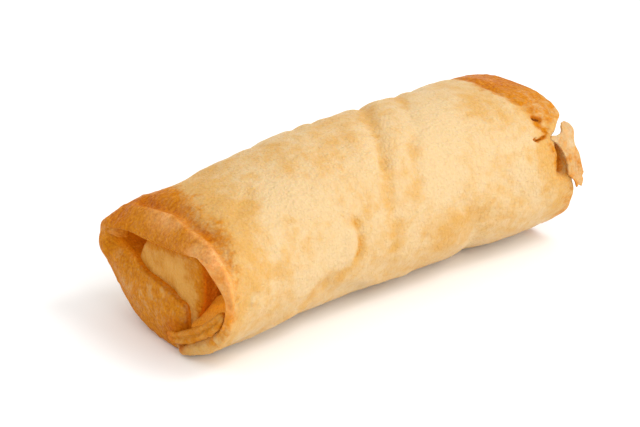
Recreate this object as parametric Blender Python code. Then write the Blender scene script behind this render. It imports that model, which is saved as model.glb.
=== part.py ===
"""A fried spring roll: one thin wrapper, rolled round its filling, with both ends folded in and fried crisp.

The roll lies along X, near end at -X, resting on z = 0. Its outer shape is lofted from sections along
its length, and at each end the wrapper turns in over a rim to a shallow pocket. The rolled-up layers and
folds that lie in the pockets and the flake of the broken far rim are shapes of their own, which Booleans
join to the shell.
"""

import bmesh
import bpy
import numpy as np

MM = 0.001

# Driving dimensions
LENGTH = 95 * MM
COLUMNS = 72  # points round the roll
BODY_ROWS = 32  # rows along the roll, between the two rims
REST_DEPTH = 0.4 * MM  # how far the roll's own weight flattens its underside
SKIN = 1.2 * MM  # the wrapper layers at a rim
POCKET_DEPTH = 7 * MM
FLOOR_SHARE = 0.5  # size of a pocket's floor against the whole end
DEGREE = 0.31  # mm of wrapper for each degree round the roll

# Sections in mm: place along X, half width, height of the widest level, height above that level, how much
# taller the -Y side is, and the exponents that square off the upper and the lower half.
SECTIONS = (
    (-49.0, 22.0, 13.8, 9.0, 0.16, 4.0, 1.95),
    (-47.5, 22.0, 14.0, 9.6, 0.16, 4.0, 1.95),
    (-44.0, 21.2, 14.6, 11.8, 0.08, 3.2, 2.05),
    (-38.0, 19.8, 15.6, 13.6, 0.02, 2.6, 2.2),
    (-28.0, 18.6, 16.0, 15.8, 0.0, 2.2, 2.2),
    (-12.0, 17.6, 17.0, 17.8, 0.0, 2.15, 2.2),
    (6.0, 17.8, 17.4, 17.8, 0.0, 2.15, 2.2),
    (24.0, 18.2, 17.4, 17.6, 0.0, 2.2, 2.2),
    (38.0, 19.2, 17.0, 17.0, 0.0, 2.4, 2.1),
    (47.5, 19.4, 16.6, 15.6, 0.0, 2.6, 2.0),
    (49.0, 19.4, 16.6, 15.4, 0.0, 2.6, 2.0),
)

# Creases pressed into the wrapper: a path of (mm along X, degrees round), depth and half width in mm.
# A negative depth is a swell.
CREASES = (
    (((12.6, 8), (12, 50), (9.4, 71), (3.8, 101), (-0.2, 133)), 0.8, 1.8),
    (((-0.2, 133), (-2.1, 156), (-1.4, 178), (-1.8, 190)), 0.5, 1.8),
    (((25.5, 12), (22, 50), (15.3, 94), (11.7, 118), (6, 154)), 0.5, 1.8),
    (((-7, 46), (-7, 57), (-9, 76)), 0.5, 1.8),
    (((-11.4, 162), (-10.7, 176), (-11.4, 187)), 0.6, 1.6),
    (((-13.4, 170), (-13.6, 182)), -0.3, 2.0),
    (((37.4, 46), (38, 70), (38, 107), (40, 128)), 0.5, 1.8),
    (((20.5, 200), (22.4, 212), (24, 236)), 0.9, 3.0),
    (((-39, 40), (-38, 52), (-37, 68)), 0.5, 3.2),
    (((-35, 34), (-32.5, 47), (-31, 62)), 0.7, 3.0),
    (((-7, 216), (-1, 223), (5, 227)), -0.6, 2.2),
    (((-19, 198), (-17, 212), (-8, 220)), 0.8, 2.4),
    (((-46, 234), (-36, 225), (-24, 211)), -0.5, 2.0),
    (((-42.6, 40), (-42, 75), (-43, 113), (-43.4, 140), (-44.6, 153)), 1.0, 2.0),
    (((43.4, 157), (43.8, 165), (43.7, 173)), 1.2, 1.6),
)

# The two ends. Round each, from +Y over the top, in degrees:
#   rim: how far the rim stands out and how round it is, in mm
#   edge: the wrapper's free edge inside the rim, as y, z and how far it stands out, in mm
# bulge is how far the turned-in wrapper swells between its edge and the rim.
NEAR = {
    "side": -1,
    "bulge": 1.0 * MM,
    "rim": (
        (0, 0.7, 1.9),
        (10, 0.4, 1.5),
        (18, 0.8, 0.9),
        (45, -0.3, 0.7),
        (90, -0.6, 0.6),
        (140, 0.0, 0.6),
        (160, 0.0, 0.7),
        (180, 0.0, 0.8),
        (205, 0.2, 0.8),
        (225, 0.9, 0.7),
        (240, 1.4, 0.8),
        (248, 0.3, 1.2),
        (258, 0.4, 2.0),
        (280, 0.5, 2.6),
        (310, 0.4, 3.0),
        (338, -0.4, 3.2),
        (350, 0.0, 3.2),
    ),
    "edge": (
        (0, 16.4, 17.4, -1.6),
        (12, 15.4, 19.4, -1.2),
        (28, 11.4, 20.4, -0.5),
        (45, 7.6, 20.5, -0.3),
        (70, 3.2, 20.8, -0.4),
        (90, -0.4, 21.2, -0.4),
        (110, -3.4, 21.7, -0.2),
        (125, -6.8, 22.3, 0.0),
        (136, -9.6, 22.9, 0.1),
        (144, -12.0, 23.4, 0.2),
        (150, -13.8, 22.7, 0.1),
        (157, -16.0, 21.0, 0.0),
        (165, -18.4, 19.3, -0.1),
        (173, -20.0, 17.6, -0.2),
        (181, -20.5, 15.0, -0.2),
        (190, -19.8, 12.5, 0.0),
        (198, -18.2, 10.2, 0.1),
        (207, -15.9, 8.2, 0.2),
        (219, -12.7, 6.0, 0.4),
        (232, -9.6, 4.2, 0.6),
        (241, -7.6, 3.2, 0.7),
        (248, -7.3, 6.2, -0.2),
        (256, -7.2, 9.8, -0.1),
        (272, -4.8, 11.5, 0.2),
        (292, 1.6, 13.0, 0.3),
        (318, 7.2, 13.6, -0.1),
        (340, 11.6, 15.6, -1.0),
    ),
}
FAR = {
    "side": 1,
    "bulge": 0.8 * MM,
    "rim": (
        (0, -1.4, 2.6),
        (35, -1.6, 1.4),
        (65, -0.4, 0.8),
        (95, 0.3, 0.6),
        (120, 0.3, 0.5),
        (132, 0.2, 0.45),
        (138, -0.4, 0.4),
        (142, -2.2, 0.4),
        (146, -3.6, 0.4),
        (150, -5.4, 0.4),
        (154, -4.0, 0.5),
        (160, -2.4, 0.8),
        (168, -1.6, 1.2),
        (180, -1.0, 0.9),
        (188, -0.2, 0.5),
        (200, 0.2, 0.4),
        (211, 0.9, 0.4),
        (219, 0.2, 0.6),
        (235, -0.2, 1.0),
        (260, -0.6, 1.8),
        (295, -1.2, 3.2),
        (330, -1.6, 3.4),
    ),
    "edge": (
        (0, 12.6, 18.4, -2.0),
        (25, 12.4, 23.0, -2.0),
        (50, 9.0, 27.6, -1.4),
        (90, 0.0, 29.4, -0.4),
        (125, -9.0, 27.4, -1.2),
        (147, -14.2, 24.0, -5.4),
        (165, -16.2, 20.0, -3.4),
        (190, -16.6, 14.4, -1.8),
        (225, -13.4, 7.0, -0.6),
        (255, -6.0, 6.6, -0.6),
        (290, 3.0, 9.6, -0.8),
        (330, 10.0, 13.4, -1.6),
    ),
}

# The rolled-up layers in each pocket: a cap with a rounded edge over an outline of y and z in mm, with its
# back and front along X, how far the front swells and how round its edge is.
CAPS = (
    {
        "outline": (
            (10.8, 14.2), (10.0, 17.0), (7.6, 20.0), (3.0, 22.0), (-3.0, 22.8), (-8.0, 22.8), (-10.2, 20.8),
            (-10.7, 17.0), (-10.6, 13.6), (-10.2, 10.6), (-9.6, 8.0), (-7.6, 6.4), (-4.6, 6.4), (0.6, 7.6),
            (6.4, 8.8), (9.8, 11.0),
        ),
        "back": -39.5,
        "front": -45.6,
        "swell": -0.7,
        "round": 1.0,
    },
    {
        "outline": (
            (10.2, 18.0), (9.4, 22.0), (6.0, 25.4), (0.4, 27.0), (-5.0, 26.8), (-9.8, 25.0), (-13.2, 21.0),
            (-14.0, 16.6), (-12.8, 12.2), (-9.4, 9.4), (-4.8, 9.0), (0.5, 10.6), (5.4, 12.6), (9.0, 15.0),
        ),
        "back": 39.5,
        "front": 43.4,
        "swell": 1.0,
        "round": 1.4,
    },
)

# Folds, in mm: the pleat squashed flat under the near pocket, the layer that slopes up behind it, and the
# gathered corner. Each is a leaf between two edges, with its half thickness.
FOLDS = (
    (
        (
            (-47.8, -3.1, 1.7), (-47.9, -8.1, 3.2), (-47.8, -11.3, 4.9), (-47.3, -18.5, 10.1),
            (-47.0, -20.6, 12.7),
        ),
        (
            (-47.8, -1.7, 4.3), (-47.9, -6.7, 5.8), (-47.8, -9.9, 7.5), (-47.3, -17.1, 12.7),
            (-47.0, -19.2, 15.3),
        ),
        1.5,
    ),
    (
        (
            (-46.6, -20.4, 14.8), (-46.4, -18.4, 12.4), (-46.6, -14.6, 9.6), (-46.8, -10.6, 7.4),
            (-46.6, -7.4, 6.4),
        ),
        (
            (-41.2, -18.6, 17.6), (-40.8, -16.6, 16.0), (-41.0, -13.4, 14.4), (-41.4, -10.2, 12.6),
            (-41.6, -8.0, 11.0),
        ),
        0.8,
    ),
    (
        (
            (-47.5, 19.3, 18.5), (-47.3, 17.9, 18.1), (-47.1, 16.5, 17.7), (-46.4, 15.3, 17.4),
            (-45.0, 14.3, 17.5),
        ),
        (
            (-47.5, 19.5, 21.3), (-47.3, 18.1, 20.9), (-47.1, 16.7, 20.5), (-46.4, 15.5, 20.2),
            (-45.0, 14.5, 20.3),
        ),
        0.9,
    ),
)

# The flake of the far rim: its torn outline (mm along X, degrees round), and in mm how far its middle lies
# off the wrapper, and its half thickness.
FLAKE = {
    "outline": (
        (44.6, 148), (44.9, 145.6), (45.9, 143.4), (47.3, 142.6), (48.1, 146), (47.6, 156), (48.3, 168),
        (49.3, 178), (48.4, 186.5), (46.9, 185), (45.3, 178.5), (44.5, 170), (43.9, 160), (41.4, 152),
        (42.4, 149.6),
    ),
    "lift": 0.3,
    "half_thickness": 0.45,
}


def at(knots, where, period=None):
    """The values on a smooth curve through the knots, whose rows are a place and its values."""
    rows = np.array(knots, float)
    if period:
        before, after = rows[-2:].copy(), rows[:2].copy()
        before[:, 0] -= period
        after[:, 0] += period
        rows = np.vstack([before, rows, after])
    place, value = rows[:, 0], rows[:, 1:]
    slope = np.gradient(value, place, axis=0)
    i = np.clip(np.searchsorted(place, where, side="right") - 1, 0, len(place) - 2)
    step = (place[i + 1] - place[i])[..., None]
    t = (np.asarray(where, float) - place[i])[..., None] / step
    return (
        value[i] * (1 + 2 * t) * (1 - t) ** 2
        + slope[i] * step * t * (1 - t) ** 2
        + value[i + 1] * (3 - 2 * t) * t**2
        - slope[i + 1] * step * (1 - t) * t**2
    )


def section(x, degrees):
    """Points of the uncreased roll's outline at x, one for each angle round it."""
    half_width, level, above, lean, upper, lower = np.moveaxis(at(SECTIONS, x / MM), -1, 0)
    cosine, sine = np.cos(np.radians(degrees)), np.sin(np.radians(degrees))
    height = np.where(sine >= 0, above * (1 - lean * cosine), level)
    power = np.where(sine >= 0, upper, lower)
    radius = (np.abs(cosine / half_width) ** power + np.abs(sine / height) ** power) ** (-1 / power)
    return np.stack([x, radius * cosine * MM, (level + radius * sine) * MM], axis=-1)


def from_path(x, degrees, path):
    """How far each place on the wrapper is from a path, in mm."""
    nearest = np.full_like(x, 1e9)
    for (start_x, start_turn), (end_x, end_turn) in zip(path, path[1:]):
        run_x, run_y = end_x - start_x, (end_turn - start_turn) * DEGREE
        away_x, away_y = x - start_x, ((degrees - start_turn + 180) % 360 - 180) * DEGREE
        share = np.clip((away_x * run_x + away_y * run_y) / (run_x**2 + run_y**2), 0, 1)
        nearest = np.minimum(nearest, np.hypot(away_x - share * run_x, away_y - share * run_y))
    return nearest


def outline(x, degrees):
    """Points of the roll's outline at x, its creases pressed in towards the roll's middle line."""
    points = section(x, degrees)
    depth = sum(
        deepest * MM * np.exp(-((from_path(x / MM, degrees, path) / half_width) ** 2))
        for path, deepest, half_width in CREASES
    )
    turn = np.radians(degrees)
    inwards = np.stack([0 * x, -np.cos(turn), -np.sin(turn)], axis=-1)
    return points + inwards * depth[:, None]


def inset(ring, distance):
    """A ring of points moved in, square to its own line, each by its own distance."""
    run = np.roll(ring, -1, axis=0) - np.roll(ring, 1, axis=0)
    inwards = np.stack([0 * run[:, 0], -run[:, 2], run[:, 1]], axis=-1)
    inwards /= np.linalg.norm(inwards, axis=1)[:, None]
    return ring + inwards * np.reshape(distance, (-1, 1))


def end_rows(end, degrees):
    """Rows of points from a pocket's floor, over the wrapper's free edge and out round the rim."""
    side = end["side"]
    place = side * LENGTH / 2
    outwards = np.array([side, 0, 0])
    stand_out, rounding = at(end["rim"], degrees, 360).T * MM
    edge_y, edge_z, edge_out = at(end["edge"], degrees, 360).T * MM
    rim_x = place + side * stand_out
    edge = np.stack([place + side * edge_out, edge_y, edge_z], axis=-1)
    face = inset(outline(rim_x, degrees), rounding)

    middle = edge.mean(axis=0)
    floor = middle + (face - middle) * FLOOR_SHARE
    floor[:, 0] = middle[0] = place - side * POCKET_DEPTH
    rows = [middle + (floor - middle) * share for share in (0.4, 0.75, 0.95)]

    to_rim = face - edge
    band = np.linalg.norm(to_rim, axis=1)[:, None]
    fold = np.minimum(SKIN / 2, band * 0.6)
    inner = edge - outwards * fold
    rows += [floor + (inner - floor) * share for share in (0.15, 0.55)]
    rows += [
        inner + to_rim / band * fold * (1 - np.cos(turn)) + outwards * fold * np.sin(turn)
        for turn in np.radians((0, 45, 90))
    ]
    lip = rows[-1]
    for share in (0.35, 0.7):
        swell = end["bulge"] * np.sin(np.pi * share) * np.clip(band / (8 * MM), 0, 1)
        rows.append(lip + (face - lip) * share + outwards * swell)
    for turn in np.radians((90, 45, 15)):
        x = rim_x - side * rounding * (1 - np.sin(turn))
        rows.append(inset(outline(x, degrees), rounding * (1 - np.cos(turn))))
    return rows


def shell_rows():
    """Every row of the shell, from the near pocket's floor to the far pocket's floor."""
    degrees = np.linspace(0, 360, COLUMNS, endpoint=False)
    near, far = end_rows(NEAR, degrees), end_rows(FAR, degrees)
    first, last = near[-1][:, 0], far[-1][:, 0]
    shares = np.linspace(0, 1, BODY_ROWS + 2)[1:-1]
    body = [outline(first + (last - first) * share, degrees) for share in shares]
    return near + body + far[::-1]


def cap_rows(cap):
    """Rows of a cap whose front swells over its outline, its edge rounded."""
    corners = np.array(cap["outline"])
    knots = [(i, *corner) for i, corner in enumerate(corners)]
    ring = at(knots, np.linspace(0, len(corners), 2 * len(corners), endpoint=False), len(corners))
    ring = np.column_stack([np.full(len(ring), cap["back"]), ring])
    middle = ring.mean(axis=0)
    side = np.sign(cap["swell"])
    rows = [ring]
    for turn in np.radians((0, 45, 90)):
        row = inset(ring, cap["round"] * (1 - np.cos(turn)))
        row[:, 0] = cap["front"] - side * cap["round"] * (1 - np.sin(turn))
        rows.append(row)
    edge = rows[-1]
    for share in (0.75, 0.4):
        row = middle + (edge - middle) * share
        row[:, 0] = cap["front"] + cap["swell"] * (1 - share**2)
        rows.append(row)
    return [row * MM for row in rows]


def fold_rows(first_edge, second_edge, half_thickness):
    """Rows of a leaf between two edges, its rim rounded, which narrows at its tips."""
    steps = np.linspace(0, len(first_edge) - 1, 12)
    first = at([(i, *point) for i, point in enumerate(first_edge)], steps)
    second = at([(i, *point) for i, point in enumerate(second_edge)], steps)
    middle, half = (first + second) / 2, (second - first) / 2
    through = np.cross(np.gradient(middle, axis=0), half)
    through /= np.linalg.norm(through, axis=1)[:, None]
    tips = np.minimum(steps, steps[-1] - steps)
    shrink = np.clip(0.45 + tips, 0, 1)
    turns = np.radians(np.linspace(0, 360, 10, endpoint=False))
    rows = []
    for i, share in enumerate(shrink):
        row = middle[i] + np.outer(np.cos(turns) * share, half[i])
        rows.append((row + np.outer(np.sin(turns) * half_thickness * share, through[i])) * MM)
    return rows


def flake_rings():
    """The flake's outline on its underside and on its top."""
    along, degrees = np.array(FLAKE["outline"]).T
    turn = np.radians(degrees)
    outwards = np.stack([0 * turn, np.cos(turn), np.sin(turn)], axis=-1)
    surface = section(np.minimum(along, 49) * MM, degrees)
    surface[:, 0] = along * MM
    return [
        surface + outwards * (FLAKE["lift"] + side * FLAKE["half_thickness"]) * MM
        for side in (-1, 1)
    ]


def closed_object(name, rows, capped_flat=False):
    """A closed mesh object over rows that all have the same number of points."""
    mesh = bmesh.new()
    rings = [[mesh.verts.new(point) for point in row] for row in rows]
    for ring, following in zip(rings, rings[1:]):
        for i, point in enumerate(ring):
            after = (i + 1) % len(ring)
            mesh.faces.new((point, ring[after], following[after], following[i]))
    for ring in (rings[0], rings[-1]):
        if capped_flat:
            mesh.faces.new(ring)
            continue
        centre = mesh.verts.new(np.mean([vert.co for vert in ring], axis=0))
        for i, point in enumerate(ring):
            mesh.faces.new((point, ring[(i + 1) % len(ring)], centre))
    if capped_flat:
        bmesh.ops.triangulate(mesh, faces=mesh.faces[:])
    bmesh.ops.recalc_face_normals(mesh, faces=mesh.faces[:])
    data = bpy.data.meshes.new(name)
    mesh.to_mesh(data)
    mesh.free()
    item = bpy.data.objects.new(name, data)
    bpy.context.scene.collection.objects.link(item)
    return item


def join(whole, piece):
    """A piece joined to the whole by a Boolean, and left out of the model itself."""
    piece.hide_render = True
    piece.display_type = "WIRE"
    union = whole.modifiers.new(piece.name, "BOOLEAN")
    union.operation = "UNION"
    union.solver = "EXACT"
    union.object = piece


def press_flat(item):
    """Settle an item on z = 0, its lowest REST_DEPTH pressed flat."""
    for vert in item.data.vertices:
        vert.co.z = max(vert.co.z - REST_DEPTH, 0)


def fried_wrapper():
    material = bpy.data.materials.new("fried_wrapper")
    material.use_nodes = True
    shader = material.node_tree.nodes["Principled BSDF"]
    shader.inputs["Base Color"].default_value = (0.8, 0.5, 0.22, 1)
    shader.inputs["Metallic"].default_value = 0
    shader.inputs["Roughness"].default_value = 0.5
    return material


def build():
    for item in list(bpy.data.objects):
        bpy.data.objects.remove(item, do_unlink=True)
    roll = closed_object("roll", shell_rows())
    roll.data.materials.append(fried_wrapper())
    roll.data.shade_smooth()
    pieces = [closed_object(f"rolled_layers_{i}", cap_rows(cap)) for i, cap in enumerate(CAPS)]
    pieces += [closed_object(f"fold_{i}", fold_rows(*fold)) for i, fold in enumerate(FOLDS)]
    pieces.append(closed_object("flake", flake_rings(), capped_flat=True))
    for item in [roll, *pieces]:
        press_flat(item)
    for piece in pieces:
        join(roll, piece)


build()
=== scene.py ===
"""The looks of a fried spring roll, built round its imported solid.

Lengths inside the sections are in millimetres, and become metres as a mesh takes its points. The roll lies
along X with its flattened end at -X. Places on the wrapper are given as (millimetres along X, degrees round),
where 0 degrees is +Y, 90 the top and 180 is -Y.
"""

import bpy
import numpy as np
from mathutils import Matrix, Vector


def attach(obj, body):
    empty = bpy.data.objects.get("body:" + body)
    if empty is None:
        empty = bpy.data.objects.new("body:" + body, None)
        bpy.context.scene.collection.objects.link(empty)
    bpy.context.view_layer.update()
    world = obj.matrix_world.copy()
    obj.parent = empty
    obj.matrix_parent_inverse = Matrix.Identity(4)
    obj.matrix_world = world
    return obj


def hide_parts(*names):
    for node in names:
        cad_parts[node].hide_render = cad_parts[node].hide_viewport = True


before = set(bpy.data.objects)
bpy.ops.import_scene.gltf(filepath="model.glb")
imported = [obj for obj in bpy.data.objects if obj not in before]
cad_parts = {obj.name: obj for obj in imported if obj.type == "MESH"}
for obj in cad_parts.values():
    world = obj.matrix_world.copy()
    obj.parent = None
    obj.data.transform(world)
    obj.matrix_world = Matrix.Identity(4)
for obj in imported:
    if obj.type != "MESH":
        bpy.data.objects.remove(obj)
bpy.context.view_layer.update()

MM = 0.001

# ---------------------------------------------------------------------------------------------------------
# Camera: a long lens that looks down on the roll from its flattened end's side.
AZIMUTH, ELEVATION, DISTANCE = np.radians(-39), np.radians(25), 0.55
AIM = Vector((-4.5, 3.3, 14.5)) * MM
towards_camera = Vector(
    (
        np.sin(AZIMUTH) * np.cos(ELEVATION),
        -np.cos(AZIMUTH) * np.cos(ELEVATION),
        np.sin(ELEVATION),
    )
)
bpy.ops.object.camera_add(location=AIM + towards_camera * DISTANCE)
camera = bpy.context.object
camera.rotation_euler = towards_camera.to_track_quat("Z", "Y").to_euler()
camera.data.lens = 148.5
camera.data.clip_start = 0.01
bpy.context.scene.camera = camera

# ---------------------------------------------------------------------------------------------------------
# Studio: a pale floor, a soft key light high on the right, wide weak lights in front and behind, and a warm
# dim world.


def deselect_all():
    for item in bpy.context.selected_objects:
        item.select_set(False)


def area_light(name, place, aim, size, watts, colour=(1, 1, 1)):
    """A square soft light at a place, turned to its aim, in metres."""
    bpy.ops.object.light_add(type="AREA", location=place)
    light = bpy.context.object
    light.name = name
    light.rotation_euler = (Vector(place) - Vector(aim)).to_track_quat("Z", "Y").to_euler()
    light.data.size = size
    light.data.energy = watts
    light.data.color = colour


deselect_all()
bpy.ops.mesh.primitive_plane_add(size=6, location=(0, 0, 0))
floor = bpy.context.object
floor.name = "floor"
white = bpy.data.materials.new("white_table")
white.use_nodes = True
white_sockets = white.node_tree.nodes["Principled BSDF"].inputs
white_sockets["Base Color"].default_value = (0.95, 0.965, 0.99, 1)
white_sockets["Roughness"].default_value = 0.9
floor.data.materials.append(white)

area_light("key", (0.36, -0.36, 0.75), (0, 0, 0), 0.35, 2.55)
area_light("front_fill", (0.2, -0.85, 0.45), (0, 0, 0), 0.8, 4.0)
area_light("back_fill", (-0.25, 0.95, 0.4), (0, 0, 0), 0.8, 1.8)
world = bpy.data.worlds.new("studio")
bpy.context.scene.world = world
world.use_nodes = True
world_sockets = world.node_tree.nodes["Background"].inputs
world_sockets["Color"].default_value = (1, 0.972, 0.925, 1)
world_sockets["Strength"].default_value = 0.92
bpy.context.scene.view_settings.view_transform = "Standard"

# ---------------------------------------------------------------------------------------------------------
# Wrapper: one thin sheet of wheat dough, rolled round the filling and fried. It is made from a grid that is
# rolled to the roll's sections, with both ends turned in over a rim, and then creased and blistered.
COLUMNS, BODY_ROWS = 288, 200
NEAR_PLACE, FAR_PLACE = -47.5, 47.5
PLAIN_HALF = 38  # how far from the middle the wrapper runs before the pockets and rims of its ends
POCKET_DEPTH = 7
POCKET_ROWS = 30  # of each end's rows, those of the pocket's floor and walls and of the free edge
MM_PER_DEGREE = 0.31  # of wrapper, going round
FLATTENED = 0.4  # the lowest part is pressed flat by the roll's own weight

# Sections: place along X, half width, height of the widest level, height above that level, how much taller
# the -Y side is, and the exponents that square off the upper and the lower half.
SECTIONS = (
    (-49.0, 22.0, 13.8, 9.0, 0.16, 4.0, 1.95),
    (-47.5, 22.0, 14.0, 9.6, 0.16, 4.0, 1.95),
    (-44.0, 21.2, 14.6, 11.8, 0.08, 3.2, 2.05),
    (-38.0, 19.8, 15.6, 13.6, 0.02, 2.6, 2.2),
    (-28.0, 18.6, 16.0, 15.8, 0.0, 2.2, 2.2),
    (-12.0, 17.6, 17.0, 17.8, 0.0, 2.15, 2.2),
    (6.0, 17.8, 17.4, 17.8, 0.0, 2.15, 2.2),
    (24.0, 18.2, 17.4, 17.6, 0.0, 2.2, 2.2),
    (38.0, 19.2, 17.0, 17.0, 0.0, 2.4, 2.1),
    (47.5, 19.4, 16.6, 15.6, 0.0, 2.6, 2.0),
    (49.0, 19.4, 16.6, 15.4, 0.0, 2.6, 2.0),
)


def at(knots, where, period=None):
    """The values on a smooth curve through the knots, whose rows are a place and its values."""
    rows = np.array(knots, float)
    if period:
        before, after = rows[-2:].copy(), rows[:2].copy()
        before[:, 0] -= period
        after[:, 0] += period
        rows = np.vstack([before, rows, after])
    place, value = rows[:, 0], rows[:, 1:]
    slope = np.gradient(value, place, axis=0)
    i = np.clip(np.searchsorted(place, where, side="right") - 1, 0, len(place) - 2)
    step = (place[i + 1] - place[i])[..., None]
    t = (np.asarray(where, float) - place[i])[..., None] / step
    return (
        value[i] * (1 + 2 * t) * (1 - t) ** 2
        + slope[i] * step * t * (1 - t) ** 2
        + value[i + 1] * (3 - 2 * t) * t**2
        - slope[i + 1] * step * (1 - t) * t**2
    )


def numbered(points):
    """Knots for a curve through the points, which it passes at 0, 1, 2 and so on."""
    return [(i, *point) for i, point in enumerate(points)]


def smooth(low, high, value):
    """0 below low, 1 above high, and a smooth step between."""
    share = np.clip((value - low) / (high - low), 0, 1)
    return share * share * (3 - 2 * share)


def noise(points, size, seed):
    """Smooth noise from -1 to 1 at points, in lumps of about the given size."""
    spot = points / size + np.array([17.3, 5.1, 9.7]) * (seed + 1)
    cell = np.floor(spot).astype(np.int64)
    share = spot - cell
    share = share * share * (3 - 2 * share)
    total = 0
    for corner in range(8):
        offset = np.array([corner & 1, corner >> 1 & 1, corner >> 2 & 1])
        x, y, z = np.moveaxis(cell + offset, -1, 0)
        scramble = (x * 73856093 ^ y * 19349663 ^ z * 83492791 ^ seed * 2654435761) & 0x7FFFFFFF
        scramble = (scramble ^ scramble >> 13) * 1274126177 & 0x7FFFFFFF
        value = (scramble ^ scramble >> 16) % 65536 / 32768 - 1
        weight = np.prod(np.where(offset, share, 1 - share), axis=-1)
        total = total + value * weight
    return total


def section(x, degrees):
    """Points of the smooth roll's outline at x, one for each angle round it."""
    half_width, level, above, lean, upper, lower = np.moveaxis(at(SECTIONS, x), -1, 0)
    cosine, sine = np.cos(np.radians(degrees)), np.sin(np.radians(degrees))
    height = np.where(sine >= 0, above * (1 - lean * cosine), level)
    power = np.where(sine >= 0, upper, lower)
    radius = (np.abs(cosine / half_width) ** power + np.abs(sine / height) ** power) ** (-1 / power)
    return np.stack([x, radius * cosine, level + radius * sine], axis=-1)


def inset(ring, distance):
    """A ring of points moved in, square to its own line, each by its own distance."""
    run = np.roll(ring, -1, axis=0) - np.roll(ring, 1, axis=0)
    inwards = np.stack([0 * run[:, 0], -run[:, 2], run[:, 1]], axis=-1)
    inwards /= np.linalg.norm(inwards, axis=1)[:, None]
    return ring + inwards * np.reshape(distance, (-1, 1))


# Strokes pressed into the wrapper or raised from it: a path of (mm along X, degrees round), the depth in mm,
# negative where it is raised, and the half width in mm.
HOOD_CREST = (
    (-45.1, 37), (-44.6, 55), (-44.5, 71), (-44.4, 92), (-45.6, 118), (-45.3, 133), (-46.3, 146),
    (-46.9, 155), (-47.3, 163), (-47.3, 175),
)
HOOD_HOLLOW = (
    (-42.6, 40), (-42.2, 60), (-42.0, 75), (-42.2, 92), (-43.2, 113), (-43.3, 128), (-43.4, 140),
    (-44.6, 153),
)
MAIN_CREASE = (
    (12.6, 8), (12.6, 30), (12.0, 50), (9.4, 71), (6.0, 88), (3.8, 101), (2.6, 112), (1.0, 122),
    (-0.2, 133),
)
LOWER_CREASE = ((-0.2, 133), (-1.1, 144), (-2.1, 156), (-1.9, 168), (-1.4, 178), (-1.8, 190))
SECOND_CREASE = (
    (25.5, 12), (24, 34), (22, 50), (19.0, 73), (15.3, 94), (13, 109), (11.7, 118), (7.3, 130), (6, 154),
)
SIDE_CREASE = ((-11.4, 162), (-11.0, 169), (-10.7, 176), (-10.9, 182), (-11.4, 187))
POCKET = ((43.4, 157), (43.8, 165), (43.7, 173))
SLIT = ((37.3, 149), (38.0, 150.4), (39.3, 149.6), (40.6, 149))
HOLE = ((39.9, 135.5), (41.0, 137.5))
BODY_STROKES = (
    (MAIN_CREASE, 0.8, 1.5),
    (LOWER_CREASE, 0.45, 1.4),
    (SECOND_CREASE, 0.45, 1.5),
    (SIDE_CREASE, 0.6, 0.9),
    (((-13.0, 193), (-16.5, 197), (-21, 199)), 0.2, 1.6),
    (HOOD_HOLLOW, 1.4, 1.4),
    (HOOD_CREST, -1.0, 1.0),
    (POCKET, 1.7, 1.0),
    (((43.0, 167), (42.7, 173)), 0.9, 1.0),
    (SLIT, 0.9, 0.26),
    (HOLE, 0.9, 0.6),
    (((40.0, 141.5), (41.6, 146)), 0.55, 1.0),
    (((13, 70), (9, 95), (6, 118)), -0.35, 2.2),
    (((2.0, 72), (-1, 95), (-4, 116)), -0.3, 1.8),
    (((-7, 46), (-7, 57), (-9, 76)), 0.45, 1.3),
    (((-2, 46), (-2, 57), (-4, 74)), 0.45, 1.2),
    (((-17, 44), (-16.7, 53), (-18, 70)), 0.35, 1.4),
    (((26.5, 40), (26.5, 50), (25, 66)), 0.5, 1.3),
    (((37.4, 46), (38, 70), (38, 96), (38, 107), (38.9, 115), (40.0, 128)), 0.55, 1.1),
    (((-13.4, 170), (-13.2, 176), (-13.6, 182)), -0.3, 1.5),
    (((-30.9, 115), (-35.5, 126)), 0.4, 1.6),
    (((-38, 148), (-34, 160), (-33, 172)), 0.35, 1.8),
    (((-41, 166), (-38, 176), (-38, 190)), -0.3, 1.6),
    (((20.5, 200), (22.4, 212), (23.2, 222), (24, 236)), 0.9, 3.0),
    (((-39, 40), (-38, 52), (-37, 68)), 0.5, 3.2),
    (((-35, 34), (-32.5, 47), (-31, 62)), 0.7, 3.0),
    (((-7, 216), (-1, 223), (5, 227)), -0.6, 2.0),
    (((-19, 198), (-17, 212), (-8, 220)), 0.9, 2.2),
    (((16, 176), (19.5, 188), (26, 194)), 0.35, 1.8),
    (((28, 172), (31, 184), (38, 190)), 0.3, 2.2),
    (((-46, 234), (-36, 225), (-24, 211)), -0.55, 1.3),
    (((-48, 24), (-46, 26), (-43, 29)), 0.9, 0.7),
    (((18, 4), (16, -12), (12, -30)), 0.6, 1.5),
    (((31, 30), (34, 10), (33, -14)), 0.6, 1.5),
    (((-4, 44), (-3, 24), (-6, 6), (-5, -12)), 0.6, 1.4),
    (((-9, 40), (-11, 18), (-13, 2)), -0.5, 2.0),
    (((-18, 50), (-20, 26), (-17, 10)), 0.5, 1.4),
    (((-30, 34), (-29, 12), (-31, -10)), 0.5, 1.8),
    (((6, 30), (5, 12), (3, -6)), -0.4, 2.0),
    (((-38, 20), (-35, 0), (-37, -22)), 0.45, 2.2),
    (((38, 262), (20, 256), (-6, 262), (-24, 258)), 0.4, 1.5),
)


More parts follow.
